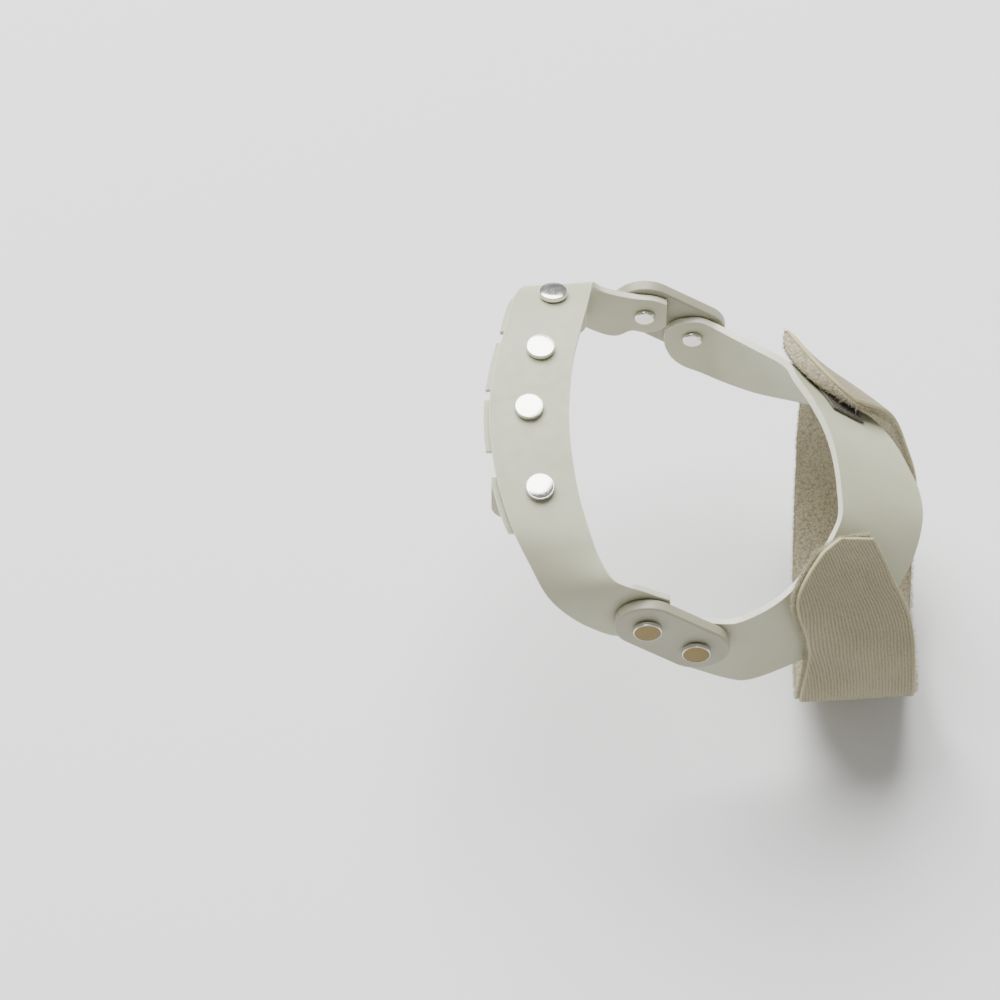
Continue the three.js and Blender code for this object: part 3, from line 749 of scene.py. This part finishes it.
# Strap: a 26.5 mm band of taupe ribbed knit, cut to shape at its ends. It lies on the radial hook
# patch, runs round underneath and ends, lifting a little, on the ulnar one.
STRAP_THICKNESS = 0.0026
STRAP_WIDTH = 0.0265
STRAP_SETBACK = 0.028
STRAP_LOOP_DROP = 0.0478
STRAP_FOOT = GAP + HOOK_THICKNESS + GAP
KNIT_THICKNESS = 0.0010
KNIT_EDGE_ROUND = 0.00045
RIB_PITCH = 0.00076
STITCH_LENGTH = 0.00062
RIB_START = 0.17
WORN_RIM = 0.0007
BULGE_REACH = 0.0025
STRAP_ALONG = 320
STRAP_ACROSS = 96
strap_distal_x = PLATE_REACH - STRAP_SETBACK

# The two ends on the plate as distal, middle and proximal places: row of the plate counted from
# 1, share of its width, and how far the strap curls off it.
RADIAL_SEATS = [
    ((7.01, -0.03, 0), (7.42, 0.15, 0), (7.67, 0.32, 0)),
    ((6.46, -0.13, 0), (6.97, 0.19, 0), (7.41, 0.49, 0)),
    ((5.77, -0.17, 0), (6.45, 0.28, 0), (7.08, 0.69, 0)),
    ((4.24, -0.06, 0.0004), (5.50, 0.46, 0.0002), (6.76, 0.92, 0)),
]
ULNAR_SEATS = [
    ((14.59, 0.34, 0.0005), (13.61, 0.78, 0.0003), (12.60, 1.04, -0.0004)),
    ((14.69, 0.17, 0.0016), (13.25, 0.46, 0.0005), (12.45, 0.78, 0.0002)),
    ((14.88, 0.04, 0.0042), (13.08, 0.14, 0.0009), (12.24, 0.48, 0.0002)),
]
# The free stretches at the two sides: x in STRAP_WIDTH from its distal edge, y in HALF_BREADTH
# and z in STRAP_LOOP_DROP.
RADIAL_SIDE_ROWS = [
    ((-0.060, -0.895, -0.066), (0.390, -0.810, -0.139), (0.835, -0.690, -0.204)),
    ((0.000, -0.879, -0.250), (0.460, -0.840, -0.286), (0.920, -0.773, -0.328)),
]
ULNAR_SIDE_ROWS = [((-0.038, 0.812, -0.340), (0.405, 0.620, -0.340), (0.860, 0.355, -0.352))]
# The loop's two edges are half ellipses: x in STRAP_WIDTH from the distal edge, middle and half
# width in HALF_BREADTH; level of the widest place and depth in STRAP_LOOP_DROP.
LOOP_DISTAL = (-0.055, -0.085, 0.782, -0.577, 0.423)
LOOP_PROXIMAL = (0.980, -0.245, 0.569, -0.577, 0.400)
LOOP_TURNS = (185, 208, 232, 257, 283, 308, 332, 355)


def seat_point(row, share, lift):
    facing = outward(plate_surface, plate_row_of([row]), [share], plate_last)[0]
    return plate_surface(plate_row_of([row]), [share])[0] + facing * lift


def side_point(x, y, z):
    return np.array((strap_distal_x + STRAP_WIDTH * x, HALF_BREADTH * y, STRAP_LOOP_DROP * z))


def loop_section(turn):
    angle = math.radians(turn)
    edges = []
    for x, middle, half_width, level, depth in (LOOP_DISTAL, LOOP_PROXIMAL):
        edges.append(np.array((strap_distal_x + STRAP_WIDTH * x,
                               HALF_BREADTH * (middle + half_width * math.cos(angle)),
                               STRAP_LOOP_DROP * (level + depth * math.sin(angle)))))
    return edges[0], (edges[0] + edges[1]) / 2, edges[1]


strap_sections = (
    [[seat_point(*place) for place in row] for row in RADIAL_SEATS]
    + [[side_point(*place) for place in row] for row in RADIAL_SIDE_ROWS]
    + [loop_section(turn) for turn in LOOP_TURNS]
    + [[side_point(*place) for place in row] for row in ULNAR_SIDE_ROWS]
    + [[seat_point(*place) for place in row] for row in ULNAR_SEATS])
strap_last = len(strap_sections) - 1
strap_rails = [rail([section[k] for section in strap_sections]) for k in range(3)]


def strap_surface(rows, shares):
    """The face that the strap stands on, bowed between its two edges."""
    shares = np.asarray(shares, float)[:, None]
    distal, middle, proximal = (read(rows) for read in strap_rails)
    return (distal * (1 - shares) * (1 - 2 * shares) + middle * 4 * shares * (1 - shares)
            + proximal * shares * (2 * shares - 1))


def edge_drop(distance, radius):
    """How far a rounded edge falls away at a distance in from it."""
    inside = np.clip(radius - distance, 0, radius)
    return radius - np.sqrt(np.maximum(radius ** 2 - inside ** 2, 0))


def strap_grid():
    """Rows and shares of a grid over the strap, denser near its outline."""
    u, v = grid_shares(STRAP_ALONG, STRAP_ACROSS)
    return (strap_last * (0.5 * u + 0.25 * (1 - np.cos(math.pi * u))),
            0.5 * v + 0.25 * (1 - np.cos(math.pi * v)))


def strap_layer(name, low, high, round_low, round_high, bulge):
    """A layer of the strap between two levels over its seat, swelling past the outline by bulge.
    Gives the piece, the seat's grid of points and how far in from the outline each one is."""
    rows, shares = strap_grid()
    base = strap_surface(rows, shares)
    facing = outward(strap_surface, rows, shares, strap_last, side=-1)
    grid = base.reshape(STRAP_ALONG + 1, STRAP_ACROSS + 1, 3)
    along = np.vstack([np.zeros(STRAP_ACROSS + 1),
                       np.cumsum(np.linalg.norm(np.diff(grid, axis=0), axis=2), axis=0)])
    across = np.hstack([np.zeros((STRAP_ALONG + 1, 1)),
                        np.cumsum(np.linalg.norm(np.diff(grid, axis=1), axis=2), axis=1)])
    to_ends = np.minimum(along, along[-1:] - along).ravel()
    to_sides = np.minimum(across, across[:, -1:] - across).ravel()
    for distance, ways, ahead in (
            (to_ends, np.gradient(grid, axis=0), rows > strap_last / 2),
            (to_sides, np.gradient(grid, axis=1), shares > 0.5)):
        ways = unit(ways.reshape(-1, 3)) * np.where(ahead, 1, -1)[:, None]
        base = base + ways * (bulge * np.clip(1 - distance / BULGE_REACH, 0, 1) ** 2)[:, None]
    to_edge = np.minimum(to_ends, to_sides)
    top = STRAP_FOOT + high - edge_drop(to_edge, round_high)
    bottom = STRAP_FOOT + low + edge_drop(to_edge, round_low)
    points = np.vstack([base + facing * top[:, None], base + facing * bottom[:, None]])
    piece = add_mesh(name, points, sheet_faces(STRAP_ALONG, STRAP_ACROSS, side=-1))
    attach(piece, "plate")
    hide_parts("wrist_strap")
    return piece, grid.reshape(-1, 3), to_edge


def knit_places(points):
    """How far along the strap's proximal edge, and how far in from it, each point is in metres.
    The ribs of the knit run parallel to that edge, and the cut outline crosses them."""
    steps = 1600
    lead_steps = 200
    back = 12
    edge = strap_surface(np.linspace(0, strap_last, steps), np.ones(steps))
    lead = np.arange(lead_steps, 0, -1)[:, None] * np.linalg.norm(edge[1] - edge[0])
    start_way, end_way = unit(np.array([edge[0] - edge[back], edge[-1] - edge[-1 - back]]))
    edge = np.vstack([edge[0] + start_way * lead, edge, edge[-1] + end_way * lead[::-1]])
    run = np.concatenate([[0], np.cumsum(np.linalg.norm(np.diff(edge, axis=0), axis=1))])
    tree = KDTree(len(edge))
    for index, point in enumerate(edge):
        tree.insert(Vector(point), index)
    tree.balance()
    found = [tree.find(Vector(point)) for point in points]
    return np.array([run[hit[1]] for hit in found]), np.array([hit[2] for hit in found])


def knit_finish():
    """Ribs with a small dash for each stitch, painted shade in the furrows, and a slim pale worn
    rim.
    """
    finish = Finish("strap_knit")
    knit = finish.node("ShaderNodeAttribute", attribute_name="knit").outputs["Vector"]
    wobble = finish.node("ShaderNodeTexNoise", {"Vector": finish.where, "Scale": 260.0})
    waved = finish.node("ShaderNodeVectorMath", {
        0: wobble.outputs["Color"], 1: (0.5, 0.35, 0.0), 2: knit}, operation="MULTIPLY_ADD")
    stitch = finish.node("ShaderNodeTexVoronoi", {
        "Vector": waved.outputs[0], "Scale": 1.0, "Randomness": 0.35}, voronoi_dimensions="2D")
    parts = finish.node("ShaderNodeSeparateXYZ", {"Vector": waved.outputs[0]})
    worn = finish.node("ShaderNodeSeparateXYZ", {"Vector": knit}).outputs["Z"]
    turns = finish.math("MULTIPLY", finish.math("SUBTRACT", parts.outputs["Y"], RIB_START),
                        2 * math.pi)
    rib = finish.ramp(finish.math("COSINE", turns), -1, 1, 0, 1)
    loop = finish.ramp(stitch.outputs["Distance"], 0.12, 0.58, 1, 0)
    height = finish.math("ADD", finish.math("MULTIPLY", rib, 0.5),
                         finish.math("MULTIPLY", loop, 0.5))
    fuzz = finish.noise(2600.0, 4.0)
    patches = finish.ramp(finish.noise(70.0, 5.0), 0.35, 0.7, 0, 0.45)
    # Painted shade: the tone darkens from the tops of the ribs and stitches down into the furrows.
    tone = finish.blend(height, (0.215, 0.182, 0.105), (0.420, 0.372, 0.235))
    tone = finish.blend(patches, tone, (0.390, 0.350, 0.225))
    tone = finish.blend(finish.ramp(fuzz, 0.45, 0.75, 0, 0.35), tone, (0.46, 0.42, 0.29))
    tone = finish.blend(finish.ramp(worn, 0.0, 1.0, 0.0, 0.85), tone, (0.50, 0.46, 0.26))
    uneven = finish.relief(fuzz, 0.00025, 0.35)
    height = finish.math("MULTIPLY", height, finish.ramp(worn, 0.0, 0.5, 1, 0))
    finish.drive(Base_Color=tone, Normal=finish.relief(height, 0.00035, 0.7, uneven))
    finish.shader.inputs["Roughness"].default_value = 0.95
    finish.shader.inputs["Sheen Weight"].default_value = 0.08
    finish.shader.inputs["Sheen Roughness"].default_value = 0.5
    return finish.material


def add_knit():
    piece, seat, to_edge = strap_layer(
        "knit_wrist_strap", STRAP_THICKNESS - KNIT_THICKNESS, STRAP_THICKNESS,
        KNIT_EDGE_ROUND * 0.5, KNIT_EDGE_ROUND, bulge=0.0)
    along, inward = knit_places(seat)
    worn = np.clip(1 - to_edge / WORN_RIM, 0, 1)
    knit = np.stack([along / STITCH_LENGTH, inward / RIB_PITCH, worn], axis=1)
    piece.data.attributes.new("knit", "FLOAT_VECTOR", "POINT").data.foreach_set(
        "vector", np.vstack([knit, knit]).ravel())
    piece.data.materials.append(knit_finish())


add_knit()

# Pile: the looped nylon side of the strap, which grips the hooks. It is a paler fluffy layer
# laminated under the knit, swells past its distal edge and stands deep where the end lifts.
PILE_ROUND = 0.00075
PILE_BULGE = 0.0007
PILE_PLUMP = 0.0025
PILE_THINNED = 0.0011
PLUMP_ROWS = 2.2
PLUMP_FALL = 1.5
PLUMP_SKEW = 0.6
TIP_ROWS = 1.2
TIP_SHARE = 0.2
PRESSED_ROWS = 1.2
PRESSED_FREEDOM = 0.1
TIGHT_FREEDOM = 0.2
LOOSE_END_ROWS = 0.3
LOOP_HEIGHT = 0.0004
FIBRE_RADIUS = 0.00005
FIBRE_SIDES = 3
FRINGE_COUNT = 9000
FRINGE_LENGTHS = (0.0004, 0.0009)
FRINGE_SPREAD = 0.6
LOOP_COUNT = 9500
LOOP_LENGTHS = (0.0004, 0.0007)
LOOP_SPREAD = 0.25
PILE_SEED = 11


def pile_finish():
    """Nylon loops, with painted shade running from pale tips to dark hollows between the tufts."""
    finish = Finish("strap_pile")
    tufts = finish.node("ShaderNodeTexVoronoi", {"Vector": finish.where, "Scale": 1500.0})
    fluff = finish.noise(3000.0, 5.0)
    height = finish.math("ADD", finish.math("MULTIPLY", tufts.outputs["Distance"], -0.8), fluff)
    # Painted shade: the tone runs from pale on the tufts' tops to dark in the hollows between them.
    tone = finish.blend(finish.ramp(height, -0.35, 0.45, 0, 1),
                        (0.20, 0.17, 0.105), (0.54, 0.485, 0.335))
    shade = finish.ramp(finish.noise(60.0, 4.0), 0.35, 0.7, 0, 0.3)
    finish.drive(Base_Color=finish.blend(shade, tone, (0.34, 0.30, 0.205)),
                 Normal=finish.relief(height, 0.0004, 0.8))
    finish.shader.inputs["Roughness"].default_value = 0.95
    finish.shader.inputs["Sheen Weight"].default_value = 0.15
    return finish.material


def fibre_finish():
    """Pale nylon fibres, a little uneven in tone."""
    finish = Finish("pile_fibre")
    finish.drive(Base_Color=finish.blend(
        finish.noise(800.0), (0.42, 0.375, 0.255), (0.66, 0.605, 0.45)))
    finish.shader.inputs["Roughness"].default_value = 0.8
    return finish.material


pile_fibre = fibre_finish()


def pile_freedom(rows, shares):
    """How free the pile is to swell: fully at the distal edge past the pressed-down radial end, and
    hardly at the proximal edge, where the strap is pulled tight, or at the thin tip."""
    from_end = strap_last - rows
    distal = PRESSED_FREEDOM + (1 - PRESSED_FREEDOM) * np.clip(rows - PRESSED_ROWS, 0, 1)
    from_tip = np.hypot(from_end / TIP_ROWS, shares / TIP_SHARE)
    freedom = np.where((shares < 0.5) | (from_end < LOOSE_END_ROWS), distal, TIGHT_FREEDOM)
    return freedom * np.clip(from_tip, PRESSED_FREEDOM, 1)


def outline_places(chance, count):
    """Random places on the strap's outline, each with its direction outward in the strap."""
    steps = 400
    inset_rows = 0.05
    inset_share = 0.02
    middle_line = strap_surface(np.linspace(0, strap_last, steps), np.full(steps, 0.5))
    longest = np.linalg.norm(np.diff(middle_line, axis=0), axis=1).sum()
    end_share = STRAP_WIDTH / (2 * (longest + STRAP_WIDTH))
    draw = chance.random(count)
    spot = chance.random(count)
    on_end = draw < 2 * end_share
    high = chance.random(count) < 0.5
    rows = np.where(on_end, np.where(high, strap_last, 0.0), spot * strap_last)
    shares = np.where(on_end, spot, np.where(high, 1.0, 0.0))
    inner_rows = np.where(on_end, np.where(high, strap_last - inset_rows, inset_rows), rows)
    inner_shares = np.where(on_end, shares, np.where(high, 1 - inset_share, inset_share))
    ways = strap_surface(rows, shares) - strap_surface(inner_rows, inner_shares)
    return rows, shares, unit(ways)


def add_fibres(name, chance, starts, ways, facing, reach, spread):
    """Curly fibres from the given starts, each leaning about its own way."""
    count = len(starts)
    aside = np.cross(facing, ways)
    lean = chance.normal(0, spread, (count, 3))
    curl = chance.normal(0, spread, (count, 2))
    long = chance.uniform(*reach, count)[:, None]
    heading = (ways * (1 + 0.4 * lean[:, :1]) + aside * lean[:, 1:2]
               + facing * 0.5 * lean[:, 2:]) * long
    bend = (aside * curl[:, :1] + facing * 0.6 * curl[:, 1:]) * long
    points = []
    faces = []
    for k in range(count):
        path = [starts[k] + heading[k] * t + bend[k] * t * t for t in (0, 0.35, 0.7, 1.0)]
        tube_along(path, [FIBRE_RADIUS, FIBRE_RADIUS, FIBRE_RADIUS * 0.7], FIBRE_SIDES,
                   points, faces)
    piece = add_mesh(name, points, faces)
    piece.data.materials.append(pile_fibre)
    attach(piece, "plate")


def pile_level(rows, shares):
    """The level of the pile's inner side over the strap's seat: lower where the end lifts off the
    plate, and higher at the thin tip, the end's distal corner."""
    from_end = strap_last - rows
    lifted = np.clip(1 - from_end / PLUMP_ROWS, 0, 1) ** PLUMP_FALL
    lifted = lifted * np.sin(math.pi * np.clip(shares, 0, 1) ** PLUMP_SKEW)
    thinned = np.clip(1 - from_end / TIP_ROWS, 0, 1) * np.clip(1 - shares / TIP_SHARE, 0, 1)
    return LOOP_HEIGHT + PILE_THINNED * thinned - PILE_PLUMP * lifted


def add_pile():
    rows, shares = strap_grid()
    pile = strap_layer("strap_pile", pile_level(rows, shares), STRAP_THICKNESS - KNIT_THICKNESS,
                       PILE_ROUND, PILE_ROUND * 0.6, PILE_BULGE * pile_freedom(rows, shares))[0]
    pile.data.materials.append(pile_finish())
    chance = np.random.default_rng(PILE_SEED)
    rows, shares, ways = outline_places(chance, 2 * FRINGE_COUNT)
    kept = np.flatnonzero(chance.random(len(rows)) < pile_freedom(rows, shares))[:FRINGE_COUNT]
    rows, shares, ways = rows[kept], shares[kept], ways[kept]
    facing = outward(strap_surface, rows, shares, strap_last, side=-1)
    lowest = pile_level(rows, shares)
    level = STRAP_FOOT + chance.uniform(lowest, STRAP_THICKNESS - KNIT_THICKNESS)
    starts = strap_surface(rows, shares) + facing * level[:, None] + ways * PILE_BULGE * 0.3
    add_fibres("strap_pile_fringe", chance, starts, ways, facing, FRINGE_LENGTHS, FRINGE_SPREAD)
    rows = chance.random(LOOP_COUNT) * strap_last
    shares = chance.random(LOOP_COUNT)
    facing = outward(strap_surface, rows, shares, strap_last, side=-1)
    inner_level = STRAP_FOOT + pile_level(rows, shares) + LOOP_HEIGHT * 0.3
    starts = strap_surface(rows, shares) + facing * inner_level[:, None]
    slant = chance.normal(0, 1, (LOOP_COUNT, 3))
    slant = unit(slant - facing * (slant * facing).sum(axis=1)[:, None])
    ways = slant * 0.9 - facing * 0.7
    add_fibres("strap_pile_loops", chance, starts, ways, facing, LOOP_LENGTHS, LOOP_SPREAD)


add_pile()

# Studio: a plain pale floor under the splint, a broad soft light above and behind on the distal
# side, a weaker one in front, and the camera looking down at 55 degrees over the radial side.
FLOOR_DEPTH = 0.056
FLOOR_HALF = 6.0
VIEW_ELEVATION = math.radians(55)
VIEW_DISTANCE = 2.6
PICTURE_PIXELS = 1000
PIXELS_PER_METRE = 4200
VIEW_WIDTH = PICTURE_PIXELS / PIXELS_PER_METRE
VIEW_MIDDLE = Vector((-0.0405, -0.0045, -0.0032))
SKY_STRENGTH = 0.3


def add_floor():
    finish = Finish("pale_floor")
    finish.drive(Base_Color=finish.blend(finish.noise(6.0), (0.89, 0.89, 0.89), (0.90, 0.90, 0.90)))
    finish.shader.inputs["Roughness"].default_value = 0.9
    corners = [(FLOOR_HALF * x, FLOOR_HALF * y, -FLOOR_DEPTH)
               for x, y in ((-1, -1), (1, -1), (1, 1), (-1, 1))]
    floor = add_mesh("floor", corners, [(0, 1, 2, 3)])
    floor.data.materials.append(finish.material)


def add_light(name, place, size, power):
    data = bpy.data.lights.new(name, "AREA")
    data.shape = "DISK"
    data.size = size
    data.energy = power
    lamp = bpy.data.objects.new(name, data)
    lamp.location = place
    lamp.rotation_euler = Vector(place).to_track_quat("Z", "Y").to_euler()
    bpy.context.scene.collection.objects.link(lamp)


add_floor()
add_light("key_light", (-0.35, 1.0, 1.45), size=2.0, power=105)
add_light("front_fill", (0.3, -1.4, 0.9), size=1.2, power=3)

world = bpy.data.worlds.new("studio")
bpy.context.scene.world = world
world.use_nodes = True
sky = world.node_tree.nodes["Background"]
sky.inputs["Color"].default_value = (1.0, 1.0, 1.0, 1)
sky.inputs["Strength"].default_value = SKY_STRENGTH

to_camera = Vector((0, -math.cos(VIEW_ELEVATION), math.sin(VIEW_ELEVATION)))
camera_data = bpy.data.cameras.new("camera")
camera_data.sensor_width = 36
camera_data.lens = camera_data.sensor_width * VIEW_DISTANCE / VIEW_WIDTH
camera_data.clip_end = 20
camera = bpy.data.objects.new("camera", camera_data)
camera.location = VIEW_MIDDLE + to_camera * VIEW_DISTANCE
camera.rotation_euler = to_camera.to_track_quat("Z", "Y").to_euler()
bpy.context.scene.collection.objects.link(camera)
bpy.context.scene.camera = camera
